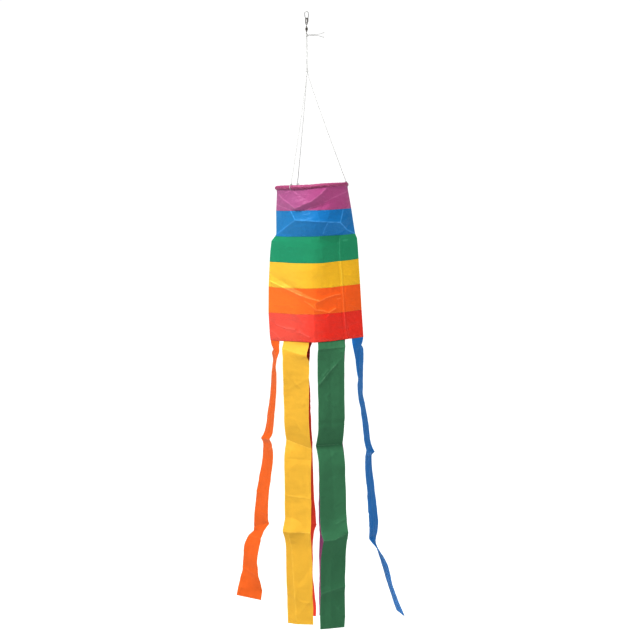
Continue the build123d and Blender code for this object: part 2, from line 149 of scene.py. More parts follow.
def place_camera():
    """A long lens from far off, a little above the object's middle."""
    data = bpy.data.cameras.new("camera")
    data.sensor_width = SENSOR
    data.lens = SENSOR * CAMERA_DISTANCE / VIEW_HEIGHT
    data.clip_end = 400
    camera = bpy.data.objects.new("camera", data)
    bpy.context.scene.collection.objects.link(camera)
    back = Vector((0, -cos(CAMERA_ELEVATION), sin(CAMERA_ELEVATION)))
    camera.location = VIEW_CENTRE + back * CAMERA_DISTANCE
    camera.rotation_euler = (pi / 2 - CAMERA_ELEVATION, 0, 0)
    bpy.context.scene.camera = camera


def aim(light, place, target):
    """Puts a light somewhere and points it."""
    light.location = place
    light.rotation_euler = (Vector(target) - Vector(place)).to_track_quat("-Z", "Y").to_euler()
    bpy.context.scene.collection.objects.link(light)


def area_light(name, place, target, size, power, glints=True):
    """A square soft light that looks at a point, with or without glints."""
    data = bpy.data.lights.new(name, "AREA")
    data.size = size
    data.energy = power
    light = bpy.data.objects.new(name, data)
    light.visible_glossy = glints
    aim(light, place, target)


def make_studio():
    """A pale floor under soft light from all round and above, and a large soft light from the upper left."""
    world = bpy.data.worlds.new("studio")
    bpy.context.scene.world = world
    world.use_nodes = True
    nodes, links = world.node_tree.nodes, world.node_tree.links
    around, seen = nodes["Background"], nodes.new("ShaderNodeBackground")
    around.inputs["Color"].default_value = seen.inputs["Color"].default_value = (1, 1, 1, 1)
    around.inputs["Strength"].default_value = SKY_STRENGTH
    either = nodes.new("ShaderNodeMixShader")
    links.new(nodes.new("ShaderNodeLightPath").outputs["Is Camera Ray"], either.inputs[0])
    links.new(around.outputs[0], either.inputs[1])
    links.new(seen.outputs[0], either.inputs[2])
    links.new(either.outputs[0], nodes["World Output"].inputs["Surface"])
    ceiling = bpy.data.lights.new("ceiling", "SUN")
    ceiling.energy = CEILING_STRENGTH
    ceiling.angle = radians(50)
    aim(bpy.data.objects.new("ceiling", ceiling), (0, 0, 3), (0, 0.25, 0))
    middle = (0.02, 0, -0.7)
    area_light("key", (-2.9, -2.3, 3.1), middle, 1.2, 420)
    area_light("fill", (3.6, -2.4, 2.4), middle, 2.0, 170, glints=False)
    bpy.context.scene.view_settings.view_transform = "Standard"
    bpy.context.scene.view_settings.gamma = CONTRAST
    mesh = bpy.data.meshes.new("floor")
    corners = [(x * FLOOR_HALF, y * FLOOR_HALF, FLOOR_Z) for x, y in ((-1, -1), (1, -1), (1, 1), (-1, 1))]
    mesh.from_pydata(corners, [], [(0, 1, 2, 3)])
    floor = bpy.data.objects.new("floor", mesh)
    bpy.context.scene.collection.objects.link(floor)
    material = bpy.data.materials.new("pale_floor")
    material.use_nodes = True
    shader = material.node_tree.nodes["Principled BSDF"]
    shader.inputs["Base Color"].default_value = (0.93, 0.93, 0.93, 1)
    shader.inputs["Roughness"].default_value = 1.0
    shader.inputs["Specular IOR Level"].default_value = 0.0
    mesh.materials.append(material)


# ---- materials -----------------------------------------------------------------------------------
class Nodes:
    """A material's node tree with short calls for the nodes used here."""

    def __init__(self, name):
        self.material = bpy.data.materials.new(name)
        self.material.use_nodes = True
        self.tree = self.material.node_tree
        self.shader = self.tree.nodes["Principled BSDF"]

    def add(self, kind, values=(), **settings):
        """A node, with its settings, and its inputs set or linked by name."""
        node = self.tree.nodes.new(f"ShaderNode{kind}")
        for key, value in settings.items():
            setattr(node, key, value)
        for key, value in dict(values).items():
            self.feed(node.inputs[key], value)
        return node

    def feed(self, socket, value):
        """Links an output to a socket, or sets the socket's own value."""
        if isinstance(value, bpy.types.NodeSocket):
            self.tree.links.new(value, socket)
        else:
            socket.default_value = value

    def set(self, **values):
        """Sets or links the shader's inputs. Spaces in their names are written as underscores."""
        for key, value in values.items():
            self.feed(self.shader.inputs[key.replace("_", " ")], value)

    def math(self, operation, first, second=0.0):
        node = self.tree.nodes.new("ShaderNodeMath")
        node.operation = operation
        self.feed(node.inputs[0], first)
        self.feed(node.inputs[1], second)
        return node.outputs[0]

    def mix(self, share, first, second, blend="MIX"):
        node = self.tree.nodes.new("ShaderNodeMix")
        node.data_type = "RGBA"
        node.blend_type = blend
        self.feed(node.inputs[0], share)
        self.feed(node.inputs[6], first)
        self.feed(node.inputs[7], second)
        return node.outputs[2]

    def stretched(self, vector, scales):
        """A place, made longer or shorter along each axis."""
        return self.add("Mapping", {"Vector": vector, "Scale": scales}).outputs[0]

    def tint(self, tone, pattern, low, high, share, other):
        """A tone that turns towards another, at most by a share, where a pattern goes from low to high."""
        return self.mix(self.ramp(pattern, low, high, 0.0, share), tone, other)

    def bump(self, height, strength, distance):
        values = {"Height": height, "Strength": strength, "Distance": distance}
        return self.add("Bump", values).outputs["Normal"]

    def noise(self, vector, scale, detail=3.0, roughness=0.5):
        values = {"Vector": vector, "Scale": scale, "Detail": detail, "Roughness": roughness}
        return self.add("TexNoise", values).outputs["Fac"]

    def ramp(self, value, low, high, to_low=0.0, to_high=1.0):
        """Maps a value from one range to another, clamped."""
        values = {"Value": value, "From Min": low, "From Max": high, "To Min": to_low, "To Max": to_high}
        return self.add("MapRange", values).outputs["Result"]


def scaled(colour, share):
    """A colour made lighter or darker, as four numbers."""
    return (*[min(1.0, c * share) for c in colour[:3]], 1.0)


def toward(colour, other, share):
    """A colour part of the way to another, as four numbers."""
    return (*[a + (b - a) * share for a, b in zip(colour, other)], 1.0)


def cloth_material(name, colour, gloss=1.3, crushed=2.0, sides=None):
    """Satin nylon taffeta: a fine plain weave, uneven dye, folds paled and painted with a highlight, and,
    given sides, painted light and shade across the band.
    """
    n = Nodes(name)
    place = n.add("UVMap", uv_map="cloth").outputs["UV"]
    place_mm = n.add("VectorMath", {0: place, "Scale": 1000.0}, operation="SCALE").outputs[0]
    part = n.add("SeparateXYZ", {0: place_mm})
    warp = n.math("SINE", n.math("MULTIPLY", part.outputs["X"], 2 * pi / WEAVE))
    weft = n.math("SINE", n.math("MULTIPLY", part.outputs["Y"], 2 * pi / WEAVE))
    plain_weave = n.math("MULTIPLY", warp, weft)
    slub = n.noise(n.stretched(place_mm, (0.02, 1.6, 1.0)), 1.0, 2.0)
    # the dye, uneven in clouds, in small mottles, along the yarns and from side to side
    cloud = n.noise(place_mm, 0.018, 4.0, 0.55)
    mottle = n.noise(place_mm, 0.16, 3.0, 0.6)
    tone = n.tint(scaled(colour, 0.94), cloud, 0.3, 0.7, 1.0, scaled(colour, 1.05))
    tone = n.tint(tone, mottle, 0.35, 0.65, 0.22, scaled(colour, 0.92))
    tone = n.tint(tone, slub, 0.4, 0.7, 0.2, scaled(colour, 1.08))
    tone = n.tint(tone, plain_weave, -1, 1, 0.12, scaled(colour, 0.86))
    # painted light: the tone shifts across the band from the left side's shares to the right side's, a
    # painted sheen and shade
    if sides:
        across = n.add("SeparateXYZ", {0: n.add("TexCoord").outputs["Object"]}).outputs["X"]
        shares = [(*share, 1.0) for share in sides]
        painted_sheen_and_shade = n.mix(n.ramp(across, *PAINTED_LIGHT_SPAN), *shares)
        tone = n.mix(1.0, tone, painted_sheen_and_shade, "MULTIPLY")
    # folds paled and painted with a highlight, darker lower edges, and painted shade in the sleeve's pucker
    # hollows
    crease = n.add("Attribute", attribute_name="crease").outputs["Fac"]
    tone = n.mix(n.math("MULTIPLY", crease, 0.8), tone, toward(scaled(colour, 1.9), (0.9, 0.9, 0.9), 0.12))
    edge = n.add("Attribute", attribute_name="edge").outputs["Fac"]
    tone = n.mix(n.math("MULTIPLY", edge, 0.35), tone, scaled(colour, 0.7))
    # the relief of the weave, of fine crinkles, of the yarns and of crushed folds
    crinkle = n.noise(place_mm, 0.35, 4.0, 0.6)
    height = n.math("ADD", n.math("MULTIPLY", plain_weave, 0.03), n.math("MULTIPLY", crinkle, 0.22))
    height = n.math("ADD", height, n.math("MULTIPLY", slub, 0.05))
    folds = n.noise(n.stretched(place_mm, (0.045, 0.075, 1.0)), 1.0, 2.0, 0.45)
    sharp = n.math("ABSOLUTE", n.math("SUBTRACT", folds, 0.5))
    height = n.math("ADD", height, n.math("MULTIPLY", sharp, crushed))
    bump = n.bump(height, 0.35, 0.001)
    n.set(Base_Color=tone, Normal=bump, Roughness=n.ramp(mottle, 0.3, 0.7, 0.42, 0.55), IOR=gloss)
    # some light comes through the thin cloth
    through = n.add("BsdfTranslucent", {"Color": tone, "Normal": bump})
    both = n.add("MixShader", {0: 0.24, 1: n.shader.outputs[0], 2: through.outputs[0]})
    n.tree.links.new(both.outputs[0], n.tree.nodes["Material Output"].inputs["Surface"])
    return n.material


def thread_material(name, colour):
    """Sewing thread or cord: fine fibres along it, a little fuzz in its sheen."""
    n = Nodes(name)
    place = n.add("TexCoord").outputs["Object"]
    fibre = n.noise(place, 2600.0, 4.0, 0.7)
    stain = n.noise(place, 60.0, 3.0, 0.5)
    tone = n.tint(scaled(colour, 0.78), fibre, 0.3, 0.7, 1.0, scaled(colour, 1.06))
    tone = n.tint(tone, stain, 0.45, 0.75, 0.3, scaled(colour, 0.9))
    bump = n.bump(fibre, 0.5, 0.0003)
    n.set(
        Base_Color=tone,
        Normal=bump,
        Roughness=n.ramp(fibre, 0.3, 0.7, 0.62, 0.8),
        Sheen_Weight=0.35,
        Sheen_Roughness=0.5,
    )
    return n.material


def metal_material(name, colour, roughness, grime):
    """Drawn or pressed metal: fine scratches, and darker tarnish in patches."""
    n = Nodes(name)
    place = n.add("TexCoord").outputs["Object"]
    scratches = n.noise(n.stretched(place, (6.0, 6.0, 0.6)), 900.0, 3.0, 0.7)
    patches = n.noise(place, 420.0, 4.0, 0.6)
    tone = n.tint((*colour, 1), scratches, 0.35, 0.65, 0.35, scaled(colour, 0.8))
    tone = n.tint(tone, patches, 0.5, 0.75, grime, scaled(colour, 0.35))
    bump = n.bump(scratches, 0.25, 0.00008)
    n.set(
        Base_Color=tone,
        Normal=bump,
        Roughness=n.ramp(patches, 0.35, 0.75, roughness, roughness + 0.22),
        Metallic=1.0,
    )
    return n.material


def rod_material(name, colour):
    """Pulled glass-fibre rod: long fine streaks under a satin skin."""
    n = Nodes(name)
    place = n.add("TexCoord").outputs["Object"]
    streaks = n.noise(place, 700.0, 5.0, 0.7)
    tone = n.tint(scaled(colour, 0.85), streaks, 0.35, 0.65, 1.0, scaled(colour, 1.05))
    bump = n.bump(streaks, 0.2, 0.0002)
    n.set(Base_Color=tone, Normal=bump, Roughness=n.ramp(streaks, 0.3, 0.7, 0.4, 0.6))
    return n.material


# Each band's cloth: its tone, its index of refraction, how crushed it is, and a painted gradient of light and
# shade across it, as shares of the tone at the left and at the right.
BAND_LOOKS = {
    "purple": ((0.376, 0.118, 0.258), 1.36, 10.0, ((0.98, 1.05, 1.01), (1.08, 0.85, 0.97))),
    "blue": ((0.028, 0.214, 0.428), 1.3, 10.0, ((1.05, 1.03, 1.02), (0.72, 0.95, 1.02))),
    "green": ((0.034, 0.289, 0.162), 1.24, 4.0, ((0.96, 0.96, 0.99), (1.08, 1.04, 1.02))),
    "yellow": ((0.672, 0.447, 0.055), 1.26, 4.0, ((0.97, 0.98, 1.20), (1.06, 1.03, 0.70))),
    "orange": ((0.704, 0.184, 0.037), 1.3, 4.0, ((1.00, 1.07, 1.02), (1.02, 0.84, 0.72))),
    "red": ((0.630, 0.074, 0.053), 1.5, 5.0, ((1.00, 1.39, 1.33), (1.03, 0.57, 0.42))),
}
PAINTED_LIGHT_SPAN = (-0.030, 0.045)  # where a band's painted light turns from its left side's shares to its right side's, in metres
# Each tail's tone: its band's cloth made lighter or darker by painted light, to match how the light falls on
# that tail.
TAIL_TONES_WITH_PAINTED_LIGHT = {
    "purple": (0.480, 0.160, 0.320),
    "blue": (0.035, 0.192, 0.440),
    "green": (0.067, 0.192, 0.107),
    "yellow": (0.612, 0.398, 0.067),
    "orange": (0.620, 0.160, 0.035),
    "red": (0.640, 0.085, 0.060),
}
BAND_CLOTH = {c: cloth_material(f"band_cloth_{c}", *look) for c, look in BAND_LOOKS.items()}
TAIL_CLOTH = {c: cloth_material(f"tail_cloth_{c}", tone, 1.18) for c, tone in TAIL_TONES_WITH_PAINTED_LIGHT.items()}
THREADS = {c: thread_material(f"thread_{c}", scaled(look[0], 0.9)) for c, look in BAND_LOOKS.items()}
SLEEVE_CLOTH = cloth_material("sleeve_cloth", (0.330, 0.090, 0.183))
# the white cord is set darker than its own white: painted shade, so it reads grey against the pale background
CORD_WHITE = thread_material("cord_white", (0.465, 0.465, 0.455))
CORD_END = thread_material("cord_end_grey", (0.32, 0.32, 0.315))
OVERLOCK = thread_material("overlock_white", (0.70, 0.70, 0.70))


# ---- meshes --------------------------------------------------------------------------------------
def piece_from(name, points, faces, material, uv=None, marks=None):
    """A mesh object from points in millimetres, with its place on the cloth and its named marks per point."""
    mesh = bpy.data.meshes.new(name)
    mesh.from_pydata((np.reshape(points, (-1, 3)) * MM).tolist(), [], faces)
    mesh.materials.append(material)
    if uv is not None:
        layer = mesh.uv_layers.new(name="cloth")
        corners = np.zeros(len(mesh.loops), np.int32)
        mesh.loops.foreach_get("vertex_index", corners)
        layer.data.foreach_set("uv", (np.reshape(uv, (-1, 2))[corners] * MM).astype(np.float32).ravel())
    for key, values in (marks or {}).items():
        attribute = mesh.attributes.new(key, "FLOAT", "POINT")
        attribute.data.foreach_set("value", values.astype(np.float32).ravel())
    mesh.shade_smooth()
    piece = bpy.data.objects.new(name, mesh)
    bpy.context.scene.collection.objects.link(piece)
    return piece


def grid_faces(rows, columns, closed=False):
    """Quads of a grid of points, row by row. A closed grid joins its last column to its first."""
    faces = []
    for i in range(rows - 1):
        for j in range(columns if closed else columns - 1):
            k = (j + 1) % columns
            faces.append((i * columns + j, (i + 1) * columns + j, (i + 1) * columns + k, i * columns + k))
    return faces


def join(points, faces, more, more_faces):
    """Adds one mesh's points and faces to another's."""
    faces += [tuple(k + len(points) for k in face) for face in more_faces]
    points += more


def run_along(path):
    """How far along a path each of its points is."""
    steps = np.linalg.norm(np.diff(path, axis=0), axis=1)
    return np.concatenate([[0], np.cumsum(steps)])


def at_run(where, run, values):
    """A path's point, or another vector given for each of its points, at some lengths along it."""
    return np.stack([np.interp(where, run, values[:, k]) for k in range(3)], axis=-1)


def frames_along(path, start):
    """Unit vectors to two sides at each point of a path, that turn no more than the path makes them."""
    ahead = np.gradient(path, axis=0)
    ahead /= np.maximum(np.linalg.norm(ahead, axis=1, keepdims=True), 1e-9)
    side, sides = np.cross(ahead[0], start), []
    for there in ahead:
        side = side - there * (side @ there)
        side /= np.linalg.norm(side)
        sides.append(side)
    return np.array(sides), np.cross(ahead, sides)


def on_sock(piece, replaced=None):
    """Puts a piece on the sock's body, in place of the frame's own piece."""
    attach(piece, "sock")
    if replaced:
        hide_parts(replaced)


def thicken(piece, thickness, offset=-1.0):
    """Gives a sheet its thickness as real geometry."""
    modifier = piece.modifiers.new("thickness", "SOLIDIFY")
    modifier.thickness = thickness * MM
    modifier.offset = offset
    modifier.use_even_offset = False
    mesh = bpy.data.meshes.new_from_object(piece.evaluated_get(bpy.context.evaluated_depsgraph_get()))
    piece.modifiers.clear()
    piece.data = mesh


WAVES = 7  # how many plain waves add up to uneven ones


def waves(u, v, wavelength, seed):
    """Smooth uneven waves between about -1 and 1, the same for the same seed."""
    draw = np.random.default_rng(seed)
    total = np.zeros(np.broadcast(u, v).shape)
    for _ in range(WAVES):
        turn, phase = draw.uniform(0, 2 * pi, 2)
        pitch = 2 * pi / (wavelength * draw.uniform(0.7, 1.5))
        total += np.sin(pitch * (u * cos(turn) + v * sin(turn)) + phase)
    return total * 1.6 / WAVES


def wrinkles(u, v, seed):
    """Thin broken ridges that wander over the cloth, where it has been crushed."""
    bend = waves(u, v, 80, seed)
    line = waves(u + 12 * bend, v, 46, seed + 1)
    part = np.clip(waves(u, v, 55, seed + 2), 0, 1)
    return 0.9 * part * np.exp(-((line / 0.18) ** 2)) + 0.2 * waves(u, v, 15, seed + 4)


def smoothstep(value):
    value = np.clip(value, 0, 1)
    return value * value * (3 - 2 * value)


def closeness(away, reach):
    """1 on a line, and less and less to 0 at the reach."""
    return np.clip(1 - away / reach, 0, 1)


def distance_to_line(u, v, line):
    """How far each place is from a line of points."""
    best = np.full(np.broadcast(u, v).shape, 1e9)
    for (a, b), (c, d) in zip(line, line[1:]):
        span = (c - a) ** 2 + (d - b) ** 2
        along = np.clip(((u - a) * (c - a) + (v - b) * (d - b)) / span, 0, 1)
        best = np.minimum(best, np.hypot(u - a - along * (c - a), v - b - along * (d - b)))
    return best


# ---- the sock's surface --------------------------------------------------------------------------
LENS_ANGLES = np.linspace(0.05, pi / 2, 400)
LENS_WIDTHS = GIRTH / 4 * np.sin(LENS_ANGLES) / LENS_ANGLES
RIDGE = 15.0  # how far to each side the top of the ridge is rounded


def lens(half_width):
    """Two arcs of half the girth each that meet this far out: half angle, radius and centre's offset."""
    angle = np.interp(half_width, LENS_WIDTHS[::-1], LENS_ANGLES[::-1])
    radius = half_width / np.sin(angle)
    return angle, radius, radius * np.cos(angle)


def fold_triangles():
    """The flat facets between the fold points."""
    names = list(FOLD_POINTS)
    places = [Vector(FOLD_POINTS[name][:2]) for name in names]
    edges = [(names.index(a), names.index(b)) for line in FOLD_LINES for a, b in zip(line, line[1:])]
    found = delaunay_2d_cdt(places, edges, [], 0, 0.01)
    heights = [FOLD_POINTS[names[origin[0]]][2] for origin in found[3]]
    return [[(*found[0][k], heights[k]) for k in face] for face in found[2]]


FACETS = fold_triangles()


def facet_height(across, depth):
    """How far the folded facets stand out at each place, nothing outside them."""
    height = np.zeros(across.shape)
    for (ax, ay, ah), (bx, by, bh), (cx, cy, ch) in FACETS:
        area = (bx - ax) * (cy - ay) - (cx - ax) * (by - ay)
        if abs(area) < 1e-6:
            continue
        s = ((across - ax) * (cy - ay) - (cx - ax) * (depth - ay)) / area
        t = ((bx - ax) * (depth - ay) - (across - ax) * (by - ay)) / area
        inside = (s >= -1e-9) & (t >= -1e-9) & (s + t <= 1 + 1e-9)
        height = np.where(inside, ah + s * (bh - ah) + t * (ch - ah), height)
    return height


def rounded_facets(across, depth):
    """The facets with their folds rounded off over a small reach."""
    reach = 0.9
    total = facet_height(across, depth) * 2
    for a, b in ((-1, 0), (1, 0), (0, -1), (0, 1)):
        total = total + facet_height(across + a * reach, depth + b * reach)
    return total / 6


PALE_LINE = 1.1  # about half the width of the pale line along a fold: paled thread and a painted highlight


def seam_marks(across, depth):
    """How far the side seam's edges lift the cloth, and how pale it is painted along them, a painted
    highlight on the seam. The seam hardly shows above the lowest of the packing folds."""
    away = distance_to_line(across, depth, SEAM_LINE)
    shown = 0.15 + 0.85 * smoothstep((depth - 104) / 14)
    ridge = closeness(away, 2.4) - 0.6 * closeness(np.abs(away - 4.5), 2.4)
    puckers = 0.2 * closeness(away, 5) * np.sin(2 * pi * depth / 6.3)
    return shown * (ridge + puckers), 0.45 * shown**4 * closeness(away, 1.3)


def crease_marks(across, depth):
    """How far the softer folds and the side seam stand out, and how pale the cloth is along every fold."""
    height, pale = np.zeros(across.shape), np.zeros(across.shape)
    sharp_folds = [[FOLD_POINTS[name][:2] for name in line] for line in FOLD_LINES]
    only_pale = [(line, 0.0, 1.0, whiteness) for line, whiteness in zip(sharp_folds, FOLD_PALENESS)]
    for line, stand, reach, whiteness in CREASES + only_pale:
        away = distance_to_line(across, depth, line)
        height += stand * closeness(away, reach) ** 2
        pale = np.maximum(pale, whiteness * np.clip(1.5 - away / PALE_LINE, 0, 1))
    seam_height, seam_pale = seam_marks(across, depth)
    broken = 0.75 + 0.3 * waves(across, depth, 9, 12)
    return height + seam_height, np.maximum(pale, seam_pale) * np.clip(broken, 0, 1)


def sway(across, front):
    """How far the bent hoop rises above its plane, in millimetres."""
    dip = 0.6 * np.exp(-(((across - 48) / 16) ** 2)) - 1.9 * np.exp(-(((across + 12) / 30) ** 2))
    return 1.4 * across / 77 + np.where(front, dip, 0.0)


def section(share, depth, half, stand):
    """The sock's section without its folds, as x from its own middle and y: a lens at the top that turns
    into a ridge lower down."""
    front = share < 1
    side = np.where(front, 1.0, -1.0)
    angle, radius, centre = lens(half)
    turn = angle * (1 - 2 * np.where(front, share, share - 1))
    fuller = stand / (radius - centre)
    x, y = -side * radius * np.sin(turn), side * (centre - radius * np.cos(turn)) * fuller
    ridge = -side * stand * (1 - (np.hypot(x, RIDGE) - RIDGE) / (np.hypot(half, RIDGE) - RIDGE))
    flatter = 0.6 * smoothstep((depth - 20) / 100) + 0.15 * smoothstep((depth - 220) / 80)
    return x, y * (1 - flatter) + ridge * flatter


def relief(share, depth, x, across, half):
    """How far folds, gathers and wrinkles stand out from the section, and how pale the cloth is."""
    front = share < 1
    side = np.where(front, 1.0, -1.0)
    folds, pale = crease_marks(side * across, depth)
    facets = rounded_facets(side * across, depth)
    at_side = smoothstep((1 - np.abs(x) / half) / 0.06)  # the side creases themselves stay put
    gathers = 0.5 * np.sin(share * 2 * pi * 31 + 2 * np.sin(share * 40)) * np.exp(-np.maximum(depth, 0) / 7)
    billow = 1.1 * waves(x, depth + 400 * side, 95, 3) + 0.3 * waves(x, depth + 300 * side, 30, 4)
    crushed = wrinkles(x, depth + 350 * side, 61) * (0.9 + smoothstep((depth - 150) / 150))
    billow = (billow + crushed) * smoothstep(depth / 20)
    weaker = np.where(front, 1.0, 0.6)  # the back is less folded
    return at_side * (weaker * (facets + folds) + billow) + gathers, pale * weaker


def sock_place(share, depth, inward=0.0):
    """The sock's surface: share runs from 0 at the left crease over the front to 1 at the right, and
    back round to 2. Returns the points, the across and the paling of each."""
    share, depth = np.broadcast_arrays(np.asarray(share, float), np.asarray(depth, float))
    left, right, tip, stand = (np.interp(depth, OUTLINE[:, 0], OUTLINE[:, k]) for k in (1, 2, 3, 4))
    half, shift = (left + right) / 2, (right - left) / 2
    x, y = section(share, depth, half, stand)
    across = x + shift
    out, pale = relief(share, depth, x, across, half)
    out = out - inward
    nx, ny = x / half**2, y / stand**2
    length = np.hypot(nx, ny)
    nx, ny = nx / length, ny / length
    x, y = x + 0.4 * nx * out + shift, y + ny * out
    drop = depth + 0.6 * waves(across, depth, 70, 8) * smoothstep(depth / 40)
    drop = drop - sway(across, share < 1) * (1 - smoothstep(depth / 46))
    cos_tip, sin_tip = np.cos(np.radians(tip)), np.sin(np.radians(tip))
    place = np.stack(
        [
            HOOP_CENTRE[0] + drop * sin(LEAN) + x * cos(LEAN) + y * sin_tip * sin(LEAN),
            HOOP_CENTRE[1] + y * cos_tip,
            HOOP_CENTRE[2] - drop * cos(LEAN) + x * sin(LEAN) - y * sin_tip * cos(LEAN),
        ],
        axis=-1,
    )
    return place, across, pale


def hoop_place(angle, outward=0.0, up=0.0):
    """A point near the hoop, in millimetres: degrees round it, off the rod's middle outward and up."""
    tip, turn = radians(OUTLINE[0, 3]), radians(angle)
    x, y = (HOOP_RADIUS + outward) * cos(turn), (HOOP_RADIUS + outward) * sin(turn)
    across = np.array([cos(LEAN), 0, sin(LEAN)])
    back = np.array([sin(tip) * sin(LEAN), cos(tip), -sin(tip) * cos(LEAN)])
    rise = float(sway(HOOP_RADIUS * cos(turn), sin(turn) < 0))
    return HOOP_CENTRE + across * x + back * y + np.cross(across, back) * (up + rise)


def hoop_frame(angle):
    """The point of the hoop's rod at an angle, and the unit vectors outward and up there."""
    base = hoop_place(angle)
    return base, hoop_place(angle, 1) - base, hoop_place(angle, 0, 1) - base


COLUMNS = 512  # of points round a sheet of the sock's cloth
SHARES = np.arange(COLUMNS) * (2 / COLUMNS)
ROW = 1.5  # the most between two rows of points


def sock_sheet(name, top, bottom, material, inward=0.0, tuck=0.0):
    """A closed ring of the sock's cloth between two depths. tuck is how far its top runs on up behind
    the band above."""
    rows = int((bottom - top) / ROW) + 2
    depths = np.linspace(top, bottom, rows)
    if tuck:
        depths = np.concatenate([np.linspace(top - tuck, top - 0.6, 4), depths])
    share, depth = np.meshgrid(SHARES, depths)
    behind = np.where(depth < top - 0.1, 0.4, 0.0) + inward
    points, _, pale = sock_place(share, depth, behind)
    faces = grid_faces(len(depths), COLUMNS, closed=True)
    marks = {"crease": pale, "edge": closeness(np.abs(depth - bottom), 1.2) * 0.5}
    piece = piece_from(name, points, faces, material, np.dstack([share * GIRTH / 2, depth]), marks)
    thicken(piece, CLOTH)
    return piece


def make_bands():
    """The six sewn bands, each tucked up behind the one above it, and the turned-up hem inside the last."""
    hem = sock_sheet("red_hem", HEM - HEM_TURN, HEM - 0.3, BAND_CLOTH["red"], inward=2 * CLOTH + 0.01)
    on_sock(hem, "bottom_hem")
    for k, colour in enumerate(COLOURS):
        top, bottom = BAND_EDGES[k], BAND_EDGES[k + 1]
        tuck = SEAM_OVERLAP if k else 0.0
        band = sock_sheet(f"{colour}_band", top, bottom, BAND_CLOTH[colour], tuck=tuck)
        on_sock(band, f"{colour}_panel")


def make_sleeve():
    """The cloth rolled round the hoop: gathered, so its surface twists in small uneven puckers."""
    count, around = 720, 28
    angle, turn = np.meshgrid(np.arange(count) * 2 * pi / count, np.arange(around) * 2 * pi / around)
    arc = angle * HOOP_RADIUS
    skew = turn * 3.2  # the puckers run aslant, as the cloth was rolled
    pucker = 0.34 * waves(arc + skew, turn * 1.6, 7.5, 21) + 0.22 * waves(arc - skew, turn * 2.2, 3.6, 22)
    sag = 0.5 * np.sin(3 * angle + 0.6) + 0.35 * np.sin(5 * angle + 2.0)
    seam = -0.5 * np.exp(-(((turn - 4.4) / 0.16) ** 2))
    radius = SLEEVE_RADIUS + pucker + seam
    flat = 1 + 0.10 * np.cos(2 * (turn - 0.6 * np.sin(angle * 2)))
    outward, up = radius * flat * np.cos(turn), radius / flat * np.sin(turn) + 0.5 * sag
    points = np.zeros((around, count, 3))
    for j in range(count):
        base, out, high = hoop_frame(degrees(angle[0, j]))
        points[:, j] = base + outward[:, j, None] * out + up[:, j, None] * high
    faces = grid_faces(around, count, closed=True)
    last = (around - 1) * count
    faces += [(last + j, j, (j + 1) % count, last + (j + 1) % count) for j in range(count)]
    uv = np.dstack([arc, turn * SLEEVE_RADIUS])
    # painted light on the puckers: paler on their crests, a painted highlight, and darker in their hollows,
    # painted shade
    marks = {"crease": np.clip(pucker * 1.2, 0, 1) * 0.35, "edge": np.clip(-pucker * 1.4, 0, 1)}
    sleeve = piece_from("hoop_sleeve", points, [f[::-1] for f in faces], SLEEVE_CLOTH, uv, marks)
    on_sock(sleeve, "purple_panel")


# ---- stitches ------------------------------------------------------------------------------------
STITCH_LENGTH, STITCH_WIDTH, STITCH_HEIGHT = 2.3, 0.34, 0.16
# A stitch's shape: how far along it, and its shares of the width and of the height there.
STITCH = [(0.0, 0.45, -0.25), (0.18, 1.0, 0.8), (0.5, 1.0, 1.0), (0.82, 1.0, 0.8), (1.0, 0.45, -0.25)]
STITCH_CORNERS = [(-1, -0.6), (-0.6, 0.8), (0.6, 0.8), (1, -0.6)]
STITCH_ENDS = [(0, 1, 2, 3), tuple(range(4 * len(STITCH) - 1, 4 * len(STITCH) - 5, -1))]


def stitch_row(name, on_cloth, inside, colour, pitch=3.0):
    """A row of lock stitches along a line of points on the cloth, each a small rounded bar that dips at its
    ends. inside has the same points a millimetre further in."""
    outs = on_cloth - inside
    places = on_cloth + outs * 0.05  # just clear of the cloth
    run = run_along(places)
    points, faces = [], []
    for start in np.arange(0.4, run[-1] - STITCH_LENGTH, pitch):
        bar = []
        for along, wide, high in STITCH:
            at = start + along * STITCH_LENGTH
            place = at_run(at, run, places)
            out = at_run(at, run, outs)
            out /= np.linalg.norm(out)
            side = np.cross(at_run(at + 0.3, run, places) - place, out)
            norm = np.linalg.norm(side)
            side = side / norm if norm > 1e-9 else np.array([1.0, 0, 0])
            wide, high = STITCH_WIDTH / 2 * wide, STITCH_HEIGHT * max(high, 0.1)
            bar += [place + side * a * wide + out * b * high for a, b in STITCH_CORNERS]
        join(points, faces, bar, grid_faces(len(STITCH), 4, closed=True) + STITCH_ENDS)
    on_sock(piece_from(name, points, faces, THREADS[colour]))


def ring_stitches(name, depth, colour, pitch=3.0):
    """A row of stitches all round the sock at one depth."""
    share = np.linspace(0, 1.9999, 600)
    stitch_row(name, sock_place(share, depth)[0], sock_place(share, depth, 1.0)[0], colour, pitch)


def make_ring_stitches():
    """The seams between the bands, the hem's line and the sleeve's line."""
    for k, colour in enumerate(COLOURS[:-1]):
        ring_stitches(f"stitches_{colour}", BAND_EDGES[k + 1] - SEAM_STITCHES, colour)
    ring_stitches("stitches_hem", HEM - HEM_STITCHES, "red")
    ring_stitches("stitches_sleeve", SLEEVE_STITCHES, "purple", 3.4)


# ---- side seam -----------------------------------------------------------------------------------
def seam_shares(across, depth):
    """The shares of the front where the sock is this far across."""
    shares = np.linspace(0.02, 0.98, 400)
    return np.interp(across, sock_place(shares, depth)[1], shares)


